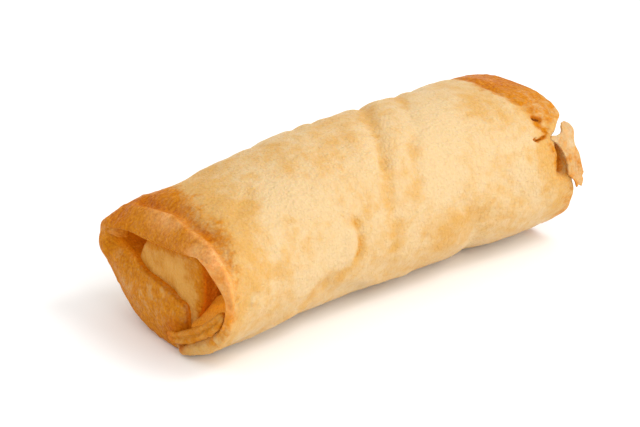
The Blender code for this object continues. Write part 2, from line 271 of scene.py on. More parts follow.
def stroke_depth(x, degrees, strokes):
    """How deep the strokes press the wrapper in at each place."""
    total = np.zeros_like(x)
    for path, depth, half_width in strokes:
        nearest = np.full_like(x, 1e9)
        for (x0, turn0), (x1, turn1) in zip(path, path[1:]):
            run_x, run_y = x1 - x0, (turn1 - turn0) * MM_PER_DEGREE
            away_x, away_y = x - x0, ((degrees - turn0 + 180) % 360 - 180) * MM_PER_DEGREE
            share = np.clip((away_x * run_x + away_y * run_y) / (run_x**2 + run_y**2), 0, 1)
            nearest = np.minimum(nearest, np.hypot(away_x - share * run_x, away_y - share * run_y))
        total += depth * np.exp(-((nearest / half_width) ** 2))
    return total


def outline(x, degrees):
    """Points of the roll's outline at x, with the strokes pressed in towards its middle line."""
    points = section(x, degrees)
    turn = np.radians(degrees)
    inwards = np.stack([0 * x, -np.cos(turn), -np.sin(turn)], axis=-1)
    return points + inwards * stroke_depth(x, degrees, BODY_STROKES)[:, None]


# The ends, from +Y over the top: how far the rim stands out and how round it is, and the wrapper's free
# edge inside the rim, as y, z and how far that stands out.
NEAR_RIM = (
    (0, 0.7, 1.9),
    (10, 0.4, 1.5),
    (18, 0.8, 0.9),
    (45, -0.3, 0.7),
    (90, -0.6, 0.6),
    (140, 0.0, 0.6),
    (160, 0.0, 0.7),
    (180, 0.0, 0.8),
    (205, 0.2, 0.8),
    (225, 0.9, 0.7),
    (240, 1.4, 0.8),
    (248, 0.3, 1.2),
    (258, 0.4, 2.0),
    (280, 0.5, 2.6),
    (310, 0.4, 3.0),
    (338, -0.4, 3.2),
    (350, 0.0, 3.2),
)
NEAR_EDGE = (
    (0, 16.4, 17.4, -1.6),
    (12, 15.4, 19.4, -1.2),
    (28, 11.4, 20.4, -0.5),
    (45, 7.6, 20.5, -0.3),
    (70, 3.2, 20.8, -0.4),
    (90, -0.4, 21.2, -0.4),
    (110, -3.4, 21.7, -0.2),
    (125, -6.8, 22.3, 0.0),
    (136, -9.6, 22.9, 0.1),
    (144, -12.0, 23.4, 0.2),
    (150, -13.8, 22.7, 0.1),
    (157, -16.0, 21.0, 0.0),
    (165, -18.4, 19.3, -0.1),
    (173, -20.0, 17.6, -0.2),
    (181, -20.5, 15.0, -0.2),
    (190, -19.8, 12.5, 0.0),
    (198, -18.2, 10.2, 0.1),
    (207, -15.9, 8.2, 0.2),
    (219, -12.7, 6.0, 0.4),
    (232, -9.6, 4.2, 0.6),
    (241, -7.6, 3.2, 0.7),
    (248, -7.3, 6.2, -0.2),
    (256, -7.2, 9.8, -0.1),
    (272, -4.8, 11.5, 0.2),
    (292, 1.6, 13.0, 0.3),
    (318, 7.2, 13.6, -0.1),
    (340, 11.6, 15.6, -1.0),
)
FAR_RIM = (
    (0, -1.4, 2.6),
    (35, -1.6, 1.4),
    (65, -0.4, 0.8),
    (95, 0.3, 0.6),
    (120, 0.3, 0.5),
    (132, 0.2, 0.45),
    (138, -0.4, 0.4),
    (142, -2.2, 0.4),
    (146, -3.6, 0.4),
    (150, -5.4, 0.4),
    (154, -4.0, 0.5),
    (160, -2.4, 0.8),
    (168, -1.6, 1.2),
    (180, -1.0, 0.9),
    (188, -0.2, 0.5),
    (200, 0.2, 0.4),
    (211, 0.9, 0.4),
    (219, 0.2, 0.6),
    (235, -0.2, 1.0),
    (260, -0.6, 1.8),
    (295, -1.2, 3.2),
    (330, -1.6, 3.4),
)
FAR_EDGE = (
    (0, 12.6, 18.4, -2.0),
    (25, 12.4, 23.0, -2.0),
    (50, 9.0, 27.6, -1.4),
    (90, 0.0, 29.4, -0.4),
    (125, -9.0, 27.4, -1.2),
    (147, -14.2, 24.0, -5.4),
    (165, -16.2, 20.0, -3.4),
    (190, -16.6, 14.4, -1.8),
    (225, -13.4, 7.0, -0.6),
    (255, -6.0, 6.6, -0.6),
    (290, 3.0, 9.6, -0.8),
    (330, 10.0, 13.4, -1.6),
)


def end_rows(side, place, rim, edge_knots, bulge, crumple, pocket_depth, degrees):
    """Rows of points from a pocket's floor, over the wrapper's free edge and out round the rim."""
    outwards = np.array([side, 0, 0])
    stand_out, rounding = at(rim, degrees, 360).T
    edge_y, edge_z, edge_out = at(edge_knots, degrees, 360).T
    rim_x = place + side * stand_out
    edge = np.stack([place + side * edge_out, edge_y, edge_z], axis=-1)
    face = inset(outline(rim_x, degrees), rounding)

    floor_ring = edge.copy()
    floor_ring[:, 0] = place - side * pocket_depth
    middle = floor_ring.mean(axis=0)
    rows = [middle + (floor_ring - middle) * share for share in np.linspace(0, 0.97, 9)]

    to_rim = face - edge
    band = np.linalg.norm(to_rim, axis=1)[:, None]
    fold = np.minimum(0.55, band * 0.45)
    inner = edge - outwards * fold
    rows += [floor_ring + (inner - floor_ring) * share for share in np.linspace(0.02, 0.94, 14)]
    rows += [
        inner + to_rim / band * fold * (1 - np.cos(turn)) + outwards * fold * np.sin(turn)
        for turn in np.radians(np.linspace(0, 90, 7))
    ]
    lip = rows[-1]
    for share in np.linspace(0, 1, 26)[1:-1]:
        swell = bulge * np.sin(np.pi * share) * np.clip(band / 8, 0, 1)
        row = lip + (face - lip) * share
        swell = swell + crumple * noise(row, 4.0, 15)[:, None] * np.sin(np.pi * share)
        rows.append(row + outwards * swell)
    for turn in np.radians(np.linspace(90, 10, 8)):
        x = rim_x - side * rounding * (1 - np.sin(turn))
        rows.append(inset(outline(x, degrees), rounding * (1 - np.cos(turn))))
    return rows


def grid_sheet(name, rows):
    """A mesh object from a grid whose points are moved to the rows, its seam and its poles closed."""
    points = np.array(rows)
    count, columns = points.shape[:2]
    points = np.concatenate([points, points[:, :1]], axis=1)
    deselect_all()
    bpy.ops.mesh.primitive_grid_add(x_subdivisions=columns, y_subdivisions=count - 1, size=2)
    item = bpy.context.object
    item.name = item.data.name = name
    item.data.vertices.foreach_set("co", (points * MM).astype(np.float32).ravel())
    bpy.ops.object.mode_set(mode="EDIT")
    bpy.ops.mesh.select_all(action="SELECT")
    bpy.ops.mesh.remove_doubles(threshold=1e-6)
    bpy.ops.mesh.normals_make_consistent(inside=False)
    bpy.ops.object.mode_set(mode="OBJECT")
    bpy.ops.object.shade_smooth()
    return item


round_degrees = np.linspace(0, 360, COLUMNS, endpoint=False)
near_rows = end_rows(-1, NEAR_PLACE, NEAR_RIM, NEAR_EDGE, 1.0, 0.25, POCKET_DEPTH, round_degrees)
far_rows = end_rows(1, FAR_PLACE, FAR_RIM, FAR_EDGE, 0.8, 0.8, POCKET_DEPTH, round_degrees)
first, last = near_rows[-1][:, 0], far_rows[-1][:, 0]
shares = np.linspace(0, 1, BODY_ROWS + 2)[1:-1]
shares -= 0.4 * np.sin(2 * np.pi * shares) / (2 * np.pi)  # closer together near the two ends
body_rows = [outline(first + (last - first) * share, round_degrees) for share in shares]
wrapper_rows = np.array(near_rows + body_rows + far_rows[::-1])
turn = np.radians(np.broadcast_to(round_degrees, wrapper_rows.shape[:2]))
skin = np.zeros(len(wrapper_rows))
skin[POCKET_ROWS : len(wrapper_rows) - POCKET_ROWS] = 1
skin = np.convolve(skin, np.ones(9) / 9, "same")[:, None]
pressed = 0.16 * noise(wrapper_rows, 6.0, 1) + 0.09 * noise(wrapper_rows, 2.6, 2)
pressed += 0.055 * noise(wrapper_rows, 1.3, 3)
crisp = 1 - smooth(-41, -34, wrapper_rows[..., 0]) + 0.4 * smooth(40, 43, wrapper_rows[..., 0])
pressed -= crisp * 0.22 * smooth(0.15, 0.7, noise(wrapper_rows, 1.1, 4))
inwards = np.stack([0 * turn, -np.cos(turn), -np.sin(turn)], axis=-1)
wrapper_rows = wrapper_rows + inwards * (pressed * skin)[..., None]
wrapper_rows[..., 2] = np.maximum(wrapper_rows[..., 2] - FLATTENED, 0)
wrapper = grid_sheet("wrapper", wrapper_rows)


class Value:
    """One output socket of a shader node, on which Python's operators add Math nodes."""

    def __init__(self, nodes, socket):
        self.nodes, self.socket = nodes, socket

    def math(self, operation, *others):
        return self.nodes.add("ShaderNodeMath", {"operation": operation}, [self, *others])

    def __add__(self, other):
        return self.math("ADD", other)

    def __sub__(self, other):
        return self.math("SUBTRACT", other)

    def __rsub__(self, other):
        return self.nodes.add("ShaderNodeMath", {"operation": "SUBTRACT"}, [other, self])

    def __mul__(self, other):
        return self.math("MULTIPLY", other)

    def __pow__(self, other):
        return self.math("POWER", other)

    __radd__, __rmul__ = __add__, __mul__

    def between(self, low, high):
        """0 at low, 1 at high, with a smooth step between."""
        settings = {"interpolation_type": "SMOOTHSTEP"}
        sockets = {"Value": self, "From Min": low, "From Max": high}
        return self.nodes.add("ShaderNodeMapRange", settings, sockets)


class Nodes:
    """A material's nodes, each added by its type, settings and sockets."""

    def __init__(self, name):
        self.material = bpy.data.materials.new(name)
        self.material.use_nodes = True
        self.tree = self.material.node_tree
        self.shader = self.tree.nodes["Principled BSDF"]

    def plug(self, node, sockets):
        pairs = sockets.items() if isinstance(sockets, dict) else enumerate(sockets)
        for socket, value in pairs:
            if isinstance(value, Value):
                self.tree.links.new(value.socket, node.inputs[socket])
            else:
                node.inputs[socket].default_value = value

    def add(self, kind, settings=None, sockets=(), output=0):
        node = self.tree.nodes.new(kind)
        for setting, value in (settings or {}).items():
            setattr(node, setting, value)
        self.plug(node, sockets)
        return Value(self, node.outputs[output])

    def lumps(self, places, size, detail=2, roughness=0.5, distortion=0):
        """Smooth noise from 0 to 1 in lumps of about the given size in millimetres."""
        sockets = {"Vector": places, "Scale": 1 / (size * MM), "Detail": detail, "Roughness": roughness}
        sockets["Distortion"] = distortion
        return self.add("ShaderNodeTexNoise", None, sockets)

    def cells(self, places, size, feature="F1"):
        """Distance from 0 in the middles of cells of about the given size in millimetres."""
        sockets = {"Vector": places, "Scale": 1 / (size * MM)}
        return self.add("ShaderNodeTexVoronoi", {"feature": feature}, sockets, "Distance")

    def mix(self, share, first, second, blend="MIX"):
        node = self.tree.nodes.new("ShaderNodeMix")
        node.data_type, node.blend_type = "RGBA", blend
        self.plug(node, {0: share, 6: first, 7: second})
        return Value(self, node.outputs[2])


def colour(red, green, blue):
    """A linear colour from the usual screen values of 0 to 255."""
    screen = np.array([red, green, blue]) / 255
    linear = np.where(screen <= 0.04045, screen / 12.92, ((screen + 0.055) / 1.055) ** 2.4)
    return (*linear.tolist(), 1)


def fried_dough(name, pale, gold, brown, deep, grain=1.0, glow=0.0):
    """Fried wheat dough: pale straw turning golden, brown, deep amber and near black by the shades laid on
    its points, with a fine blistered skin. The golden shade is the dough's own tone; the brown and dark
    shades are partly real browning and partly painted shade in pockets, hollows, tears and under folds. A
    rosy shade lays painted highlights, and a painted glow, an emission in the deep tone, stands in for light
    that comes through the thin dough into shaded pockets."""
    nodes = Nodes(name)
    places = nodes.add("ShaderNodeTexCoord", None, (), "Object")
    golden, browned, dark, blush, lit = (
        nodes.add("ShaderNodeAttribute", {"attribute_name": shade}, (), "Fac")
        for shade in ("golden", "browned", "dark", "blush", "lit")
    )
    mottle = nodes.lumps(places, 2.2, 4, 0.62, 0.4).between(0.3, 0.72)
    grit = nodes.lumps(places, 0.7, 3, 0.65)
    pits = nodes.cells(places, 0.62)
    specks = nodes.lumps(places, 1.1, 2).between(0.54, 0.7)

    tone = nodes.mix((golden + (mottle - 0.5) * 0.45 + (grit - 0.5) * 0.7).between(0, 1.15), pale, gold)
    uneven_brown = browned * 1.3 - 0.2 + (mottle - 0.5) * 0.6 + (grit - 0.5) * 0.8
    tone = nodes.mix(uneven_brown.between(0.1, 1), tone, brown)
    # Painted highlight: the rosy shade lifts the tone to a pale rose.
    tone = nodes.mix(blush * (mottle * 0.7 + grit), tone, colour(238, 176, 114))
    # The dark shade, mostly painted shade and partly deeper browning, turns the tone deep amber, and near
    # black-brown where it is deepest, in the slit and the hole.
    tone = nodes.mix(dark.between(0, 0.7), tone, deep)
    tone = nodes.mix(dark.between(0.7, 1), tone, colour(108, 52, 14))
    tone = nodes.mix(specks * 0.35 * browned, tone, colour(228, 158, 60))
    rough_skin = browned * 0.85 + 0.32
    shade = ((grit - 0.5) * (1.2 * grain) + (0.4 - pits) * (0.3 * grain)) * rough_skin + 0.5
    tone = nodes.mix(0.6, tone, nodes.mix(shade, (0, 0, 0, 1), (1, 1, 1, 1)), "SOFT_LIGHT")
    nodes.plug(nodes.shader, {"Base Color": tone})

    height = nodes.lumps(places, 1.5, 2) * 0.5 - pits * 0.3 + grit * 0.5
    bump = nodes.add("ShaderNodeBump", None, {"Strength": 1.0, "Distance": 0.55 * MM, "Height": height})
    rough = nodes.lumps(places, 3.2, 2).between(0.2, 0.9) * 0.2 + 0.36
    nodes.plug(nodes.shader, {"Normal": bump, "Roughness": rough})
    nodes.plug(nodes.shader, {"Specular IOR Level": 0.05, "Specular Tint": (1, 0.75, 0.42, 1)})
    # Painted glow: an emission in the deep tone, standing in for light that comes through thin dough into
    # shaded pockets.
    shining = nodes.mix(lit, (0, 0, 0, 1), deep)
    nodes.plug(nodes.shader, {"Emission Color": shining, "Emission Strength": glow})
    nodes.plug(nodes.shader, {"Subsurface Weight": 0.2})
    nodes.plug(nodes.shader, {"Subsurface Radius": (1.0, 0.5, 0.16), "Subsurface Scale": 1.5 * MM})
    return nodes.material


def toast_and_paint_light(item, **shades):
    """Shades from 0 to 1 for each point of an item, for its browning and tone and for painted shade,
    highlight and glow, which its material turns into tones.
    """
    for name, shade in shades.items():
        layer = item.data.attributes.new(name, "FLOAT", "POINT")
        values = np.clip(shade + np.zeros(len(item.data.vertices)), 0, 1)
        layer.data.foreach_set("value", values.astype(np.float32))


def places_of(item):
    places = np.empty(len(item.data.vertices) * 3)
    item.data.vertices.foreach_get("co", places)
    return places.reshape(-1, 3) / MM


STRAW, GOLD = colour(213, 184, 139), colour(206, 159, 90)
BROWN, AMBER = colour(194, 119, 18), colour(184, 102, 8)
dough = fried_dough("fried_dough", STRAW, GOLD, BROWN, AMBER, 1.0, 0.35)
wrapper.data.materials.append(dough)

place = places_of(wrapper)
x, middle = place[:, 0], at(SECTIONS, place[:, 0])[:, 1] - FLATTENED
turned = np.degrees(np.arctan2(place[:, 2] - middle, place[:, 1])) % 360
# Where the browning of the two ends stops: degrees round, and mm along X.
HOOD_LIMIT = (
    (0, -42), (30, -39), (46, -37.4), (60, -38.4), (75, -40.6), (90, -41.4), (105, -42.4), (119, -43.0),
    (131, -42.8), (141, -42.8), (148, -44.0), (155, -45.5), (164, -46.8), (180, -48.4), (200, -50.5),
    (222, -52.5), (240, -53), (258, -46.5), (300, -41), (335, -42),
)
RIM_LIMIT = (
    (0, 43), (40, 38.8), (59, 38.2), (85, 38), (107, 37.2), (115, 37.8), (123, 38.8), (131, 40.2),
    (137, 42), (144, 45), (160, 46.6), (200, 46.6), (250, 45.6), (300, 43.5),
)
# How brown the far rim is, and how strong the painted highlight on the hood's crest is: degrees round, and a
# share.
RIM_TONE = ((0, 0.9), (50, 1), (98, 1), (120, 0.75), (160, 0.5), (205, 0.65), (250, 0.8), (300, 0.9))
CREST_SHINE = (
    (48, 0), (66, 0.5), (80, 0.8), (104, 0.6), (118, 0.3), (130, 0.8), (145, 1), (157, 1), (170, 0.6),
    (185, 0),
)
# Dark spots of painted shade on the turned-up lip, two low beside the pleat and one at its top corner: y, z,
# half width, half height, and by how much.
LIP_SPOTS = ((-5.2, 5.4, 3.2, 2.4, 0.7), (-7.6, 2.0, 1.6, 1.3, 0.5), (16, 20, 3, 3, 0.15))
LIP_FRONT = -46.6  # the lip lies nearer to the end than this
# The pleat's middle line, as x, y and z. It lays painted shade on the wrapper round it.
PLEAT_LINE = (
    (-47.8, -2.4, 3.0), (-47.9, -7.4, 4.5), (-47.8, -10.6, 6.2), (-47.6, -14.4, 8.6), (-47.3, -17.8, 11.4),
    (-47.0, -19.9, 14.0),
)
# Blotches where the oil has toasted the wrapper more, or, below 0, hardly at all: mm along X, degrees round,
# half length, half width, and by how much.
BLOTCHES = (
    (-39, 60, 9, 8, 0.6),
    (-32.6, 125, 2.0, 2.6, 0.8),
    (-12, 84, 7, 4, 0.3),
    (-7, 106, 3, 3, 0.35),
    (-15.5, 197, 4, 3, 0.4),
    (-21, 198, 4, 3, 0.4),
    (4.2, 158, 2.6, 3.4, 0.45),
    (19, 187, 6, 4, 0.4),
    (10.8, 190, 3, 3, 0.5),
    (30, 112, 5, 5, 0.4),
    (40, 164, 4, 5, 0.8),
    (43.5, 197, 4, 4, 0.5),
    (16, 115, 6, 6, -0.8),
    (12, 154, 5, 6, -0.7),
    (-14.6, 177, 2.4, 3.5, -0.9),
    (-17.6, 175, 3.5, 3.5, -0.4),
    (-25, 127, 5, 5, -0.7),
    (-24.5, 184, 4, 4, -0.6),
    (-20, 28, 7, 5, 0.6),
    (8, 14, 5, 6, 0.6),
    (26, -6, 6, 5, 0.5),
    (-8, -30, 9, 4, 0.5),
    (18, 40, 6, 5, -0.6),
    (-32, 10, 5, 6, -0.5),
    (8, 262, 20, 5, 0.7),
    (-26, 285, 8, 5, 0.5),
)

surface = section(x, turned)
skin_radius = np.hypot(surface[:, 1], surface[:, 2] - FLATTENED - middle)
share_out = np.hypot(place[:, 1], place[:, 2] - middle) / skin_radius
outside = smooth(0.84, 0.92, share_out)


def stroke_shade(path, half_width):
    """1 along a path on the wrapper, fading to 0 over the half width."""
    return stroke_depth(x, turned, ((path, 1, half_width),)) * outside


ragged = 1.6 * noise(place, 4.0, 5) + 0.8 * noise(place, 1.6, 6) + 0.5 * noise(place, 0.8, 7)
from_hood = x - at(HOOD_LIMIT, turned, 360)[:, 0] + ragged
from_rim = at(RIM_LIMIT, turned, 360)[:, 0] - x + ragged
golden = 0.4 + 0.27 * noise(place, 7.0, 8) + 0.2 * noise(place, 3.0, 9) + 0.2 * noise(place, 1.6, 24)
golden += 0.15 * noise(place * (1, 0.3, 0.3), 1.5, 25)
for blotch_x, blotch_turn, long, wide, strength in BLOTCHES:
    away = np.abs((turned - blotch_turn + 180) % 360 - 180) * MM_PER_DEGREE
    golden += strength * np.exp(-(((x - blotch_x) / long) ** 2) - (away / wide) ** 2)
golden += 0.5 * stroke_shade(MAIN_CREASE + LOWER_CREASE[1:], 1.5) + 0.35 * stroke_shade(SECOND_CREASE, 1.4)
golden += 0.75 * stroke_shade(SIDE_CREASE, 1.1)
golden += 0.9 * (1 - smooth(0, 13, from_hood)) + 0.5 * (1 - smooth(-1, 5, from_rim))
rim_brown = at(RIM_TONE, turned, 360)[:, 0] * (1 - smooth(-2.2, 5.0, from_rim))
browned = np.maximum(1 - smooth(-3.0, 6.5, from_hood), rim_brown)
# Painted shade in the pocket under the flake's edge: browner, and more golden round it.
browned = np.maximum(browned, 0.62 * stroke_shade(POCKET, 2.4))
browned = np.maximum(browned, 0.62 * stroke_shade(((41.8, 155), (41.8, 166)), 1.8))
golden += 0.7 * stroke_shade(POCKET, 4.0)
browned = np.maximum(browned, 0.95 * stroke_shade(((39.9, 140), (41.4, 146)), 1.0))
browned = np.maximum(browned, 0.5 * stroke_shade(SIDE_CREASE, 0.7))
# Painted highlights: pale, rosy patches along the hood's crest and on the right cheek of its rim, where
# browning and gold are taken back.
shining = (turned > CREST_SHINE[0][0]) & (turned < CREST_SHINE[-1][0])
crest = stroke_shade(HOOD_CREST, 1.8) * np.where(shining, at(CREST_SHINE, turned)[:, 0], 0)
crest *= smooth(-0.9, 0.3, noise(place, 2.4, 10))
cheek_highlight = stroke_depth(x, turned, ((((-47.4, 136), (-47.6, 152)), 1, 2.0),)) * smooth(0.8, 0.9, share_out)
browned -= 0.3 * np.maximum(crest, cheek_highlight)
blush = np.maximum(0.85 * crest, 0.5 * cheek_highlight)
golden -= 0.2 * crest
# Painted shade in the hollow behind the hood's crest.
dark = 0.5 * stroke_shade(HOOD_HOLLOW, 1.5) * smooth(-0.6, 0.6, noise(place, 3.0, 11))
dark += 0.4 * (1 - smooth(-0.5, 3.0, from_rim)) * smooth(20, 70, turned) * (1 - smooth(88, 112, turned))
dark += 0.6 * stroke_shade(((-46, 28), (-43, 34), (-41, 43)), 2.4)
# Painted shade: near black-brown inside the slit and the hole, and a little dark in the pocket under the
# flake.
dark += 1.1 * stroke_shade(SLIT, 0.3) + 1.0 * stroke_shade(HOLE, 0.75) + 0.12 * stroke_shade(POCKET, 1.2)
# Painted shade inside the ends' pockets: behind each free edge the wrapper is browned and darkened, and the
# far end's turned-in wrapper is browned and darker deeper in.
near_end, far_end = x < -PLAIN_HALF, x > PLAIN_HALF
behind = np.maximum(smooth(0.2, 1.6, x - NEAR_PLACE) * near_end, smooth(0.3, 4, FAR_PLACE - x) * far_end)
behind *= 1 - smooth(0.8, 0.94, share_out)
turned_in = (1 - smooth(0.9, 0.97, share_out)) * far_end
browned = np.maximum(browned, 0.85 * turned_in)
dark += 0.3 * turned_in * smooth(0, 3, 46.5 - x)
browned = np.maximum(browned, behind)
dark += 0.55 * behind
lip = (1 - smooth(0.7, 0.95, share_out)) * (x < LIP_FRONT) * (place[:, 1] > -10.5) * (place[:, 2] < 16)
toasted = 0.92 - 0.14 * smooth(3, 8, place[:, 2] + 2.0 * noise(place, 4.0, 12))
toasted += 0.2 * smooth(12, 16, place[:, 2])
browned = browned * (1 - lip) + lip * toasted
golden = np.maximum(golden, 1.1 * lip)
# Painted shade on the lip, from the spots above.
for y, z, wide, tall, strength in LIP_SPOTS:
    spot = np.exp(-(((place[:, 1] - y) / wide) ** 2) - ((place[:, 2] - z) / tall) ** 2)
    dark += strength * spot * (x < LIP_FRONT)
pleat_curve = at(numbered(PLEAT_LINE), np.linspace(0, len(PLEAT_LINE) - 1, 60))
to_pleat = np.linalg.norm(place[:, None] - pleat_curve, axis=2).min(axis=1)
dark = np.maximum(dark, 0.62 * np.exp(-((to_pleat / 1.8) ** 2)))
# Painted glow in the near end's pocket, and along the right rim of the opening.
lit = behind * (x < 0) * (0.85 + 0.3 * noise(place, 3.0, 26))
lit += 0.65 * stroke_depth(x, turned, ((((-47.3, 152), (-47.7, 161), (-47.8, 172), (-47.6, 184)), 1, 1.5),))
toast_and_paint_light(wrapper, golden=golden, browned=browned, dark=dark, blush=blush, lit=lit)
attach(wrapper, "root")
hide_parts("roll")

# ---------------------------------------------------------------------------------------------------------
# Inner roll: the end of the rolled-up layers, which shows in the near end's opening as a smooth block with
# one sharp fold at its right. It is a cap over an outline of y and z.
TONGUE_OUTLINE = (
    (10.8, 14.2), (10.0, 17.0), (7.6, 20.0), (3.0, 22.0), (-3.0, 22.8), (-8.0, 22.8), (-10.2, 20.8),
    (-10.7, 17.0), (-10.6, 13.6), (-9.9, 10.6), (-9.0, 8.0), (-8.4, 5.6), (-6.8, 5.4), (-4.6, 8.4),
    (0.6, 10.4), (6.4, 11.4), (9.8, 12.0),
)


def cap_rows(corners, front, back, bulge, rounding, lean=0.0):
    """Rows of a closed cap: its front swells over the outline, its edge is rounded, its sides run back."""
    corners = np.array(corners)
    steps = np.linspace(0, len(corners), 12 * len(corners), endpoint=False)
    ring = at(numbered(corners), steps, len(corners))
    ring = np.column_stack([np.full(len(ring), front), ring])
    middle = ring.mean(axis=0)
    inner = inset(ring, rounding)
    rows = []
    for share in np.linspace(0, 1, 30):
        row = middle + (inner - middle) * share
        row[:, 0] = front - bulge * (1 - share**2) + lean * (row[:, 2] - middle[2])
        rows.append(row)
    for turn in np.radians(np.linspace(15, 90, 7)):
        row = inset(ring, rounding * (1 - np.sin(turn)))
        row[:, 0] = front + rounding * (1 - np.cos(turn)) + lean * (row[:, 2] - middle[2])
        rows.append(row)
    edge_x = rows[-1][:, 0]
    for share in np.linspace(0, 1, 14)[1:]:
        row = ring.copy()
        row[:, 0] = edge_x + (back - edge_x) * share
        rows.append(row)
    rows.append(np.repeat([[back, middle[1], middle[2]]], len(ring), axis=0))
    return np.array(rows)


tongue_rows = cap_rows(TONGUE_OUTLINE, -45.6, -39.5, 0.7, 1.3)
tongue_rows[..., 0] += 0.25 * noise(tongue_rows, 5.0, 11) + 0.1 * noise(tongue_rows, 1.8, 12)
tongue_rows[..., 1] += 0.15 * noise(tongue_rows, 3.0, 13)
tongue_rows[..., 2] -= FLATTENED
tongue = grid_sheet("inner_roll", tongue_rows)
TAN, HONEY = colour(212, 155, 76), colour(198, 134, 50)
inner_dough = fried_dough("inner_dough", TAN, HONEY, BROWN, colour(214, 122, 18), 0.7, 0.08)
tongue.data.materials.append(inner_dough)
place = places_of(tongue)
# Painted shade and glow: deeper in the pocket the block is browner and darker and has a painted glow; it is
# browned where the hood's edge shades it and at its right fold, and a little towards its outline.
depth = smooth(-45.6, -44.2, place[:, 0])
mottled = noise(place, 3.0, 14) + 0.5 * noise(place, 1.4, 27)
edge = 0.35 * smooth(0.3, 1.0, np.hypot((place[:, 1] - 0.5) / 11, (place[:, 2] - 16) / 8))
under_hood = place[:, 2] + 0.15 * place[:, 1] - 20.6  # 0 where the hood hides the block
edge += 0.7 * smooth(-2.4, 0, under_hood) + 0.6 * smooth(8.2, 10.4, -place[:, 1])
shadow = np.maximum(0.8 * depth, 0.35 * smooth(-1.3, 0, under_hood))
browned = 0.12 + 0.25 * mottled + edge + depth
toast_and_paint_light(tongue, golden=0.4 + 0.6 * mottled, browned=browned, dark=shadow, lit=depth)
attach(tongue, "root")
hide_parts("roll")

# ---------------------------------------------------------------------------------------------------------
# Pleat: the wrapper's spare width, squashed flat in a narrow fold under the opening. It is a ribbon with a
# groove along its middle.


def leaf_rows(first_edge, second_edge, half_thickness, swell=0.0, tip=1.2, groove=0.0, count=90):
    """Rows of a thin leaf of wrapper between two edges, its rim rounded and both its tips closed."""
    steps = np.linspace(0, len(first_edge) - 1, count)
    first, second = at(numbered(first_edge), steps), at(numbered(second_edge), steps)
    middle, half = (first + second) / 2, (second - first) / 2
    along = np.gradient(middle, axis=0)
    through = np.cross(along, half)
    through /= np.linalg.norm(through, axis=1)[:, None]
    length = np.concatenate([[0], np.cumsum(np.linalg.norm(np.diff(middle, axis=0), axis=1))])
    from_tip = np.minimum(length, length[-1] - length) / tip
    shrink = np.sqrt(1 - (1 - np.clip(from_tip, 0, 1)) ** 2)[:, None]
    turns = np.radians(np.linspace(0, 360, 32, endpoint=False))
    cosine, sine = np.cos(turns), np.sin(turns)
    reach = (np.abs(cosine) ** 2.4 + np.abs(sine) ** 2.4) ** (-1 / 2.4)
    across, up = cosine * reach, sine * reach * half_thickness
    rows = []
    for i in range(count):
        row = middle[i] + np.outer(across, half[i]) * shrink[i]
        pinch = groove * np.exp(-((across / 0.28) ** 2)) * np.sign(up)
        lift = (up - pinch) * shrink[i] + swell * (1 - across**2)
        rows.append(row + np.outer(lift, through[i]))
    return np.array(rows)


def ribbon_rows(line, across, half_width, half_thickness, **settings):
    """Rows of a ribbon of one width along a line."""
    line, side = np.array(line), np.array(across) / np.linalg.norm(across) * half_width
    return leaf_rows(line - side, line + side, half_thickness, **settings)


pleat_rows = ribbon_rows(PLEAT_LINE, (0, 0.5, 0.86), 1.45, 1.4, groove=0.6, tip=3.0)
wrinkles = 0.12 * noise(pleat_rows, 1.5, 21) + 0.07 * noise(pleat_rows * (1, 1, 0.4), 0.7, 23)
pleat_rows += wrinkles[..., None]
pleat_rows[..., 2] -= FLATTENED
pleat = grid_sheet("pleat", pleat_rows)
pleat.data.materials.append(inner_dough)
place = places_of(pleat)
# Painted shade, with a painted glow, further back under the opening; the left end is browner and darker.
shadow = smooth(-47.4, -46.0, place[:, 0])
tip = smooth(-9, -2, place[:, 1])
browned = 0.62 + 0.4 * noise(place, 1.6, 22) + 0.3 * tip
toast_and_paint_light(pleat, golden=0.7, browned=browned, dark=shadow + 0.4 * tip, lit=shadow)
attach(pleat, "root")
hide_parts("roll")

# ---------------------------------------------------------------------------------------------------------
# Slope: the next layer in, which rises from behind the pleat into the opening's dark right side.
SLOPE_FRONT = (
    (-46.6, -20.4, 14.8), (-46.4, -18.4, 12.4), (-46.6, -14.6, 9.6), (-46.8, -10.6, 7.4), (-46.6, -7.4, 6.4),
)
SLOPE_BACK = (
    (-41.2, -18.6, 17.6), (-40.8, -16.6, 16.0), (-41.0, -13.4, 14.4), (-41.4, -10.2, 12.6),
    (-41.6, -8.0, 11.0),
)
slope_rows = leaf_rows(SLOPE_FRONT, SLOPE_BACK, 0.5, 0.4)
slope_rows += 0.12 * noise(slope_rows, 1.8, 31)[..., None]
slope_rows[..., 2] -= FLATTENED
slope = grid_sheet("inner_slope", slope_rows)
# The slope's dough is a brighter copy of the inner dough with a stronger painted glow: painted light that
# lifts it in the opening's shade. Further back it also has painted shade and glow.
ORANGE, BRIGHT_ORANGE = colour(214, 138, 34), colour(232, 148, 38)
brightened_slope_dough = fried_dough("brightened_slope_dough", TAN, HONEY, ORANGE, BRIGHT_ORANGE, 0.9, 0.24)
slope.data.materials.append(brightened_slope_dough)
place = places_of(slope)
shadow = 0.3 + 0.5 * smooth(-45.6, -42.5, place[:, 0])
toast_and_paint_light(slope, golden=0.6, browned=0.4 + 0.4 * noise(place, 2.0, 32), dark=shadow, lit=shadow)
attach(slope, "root")
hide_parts("roll")

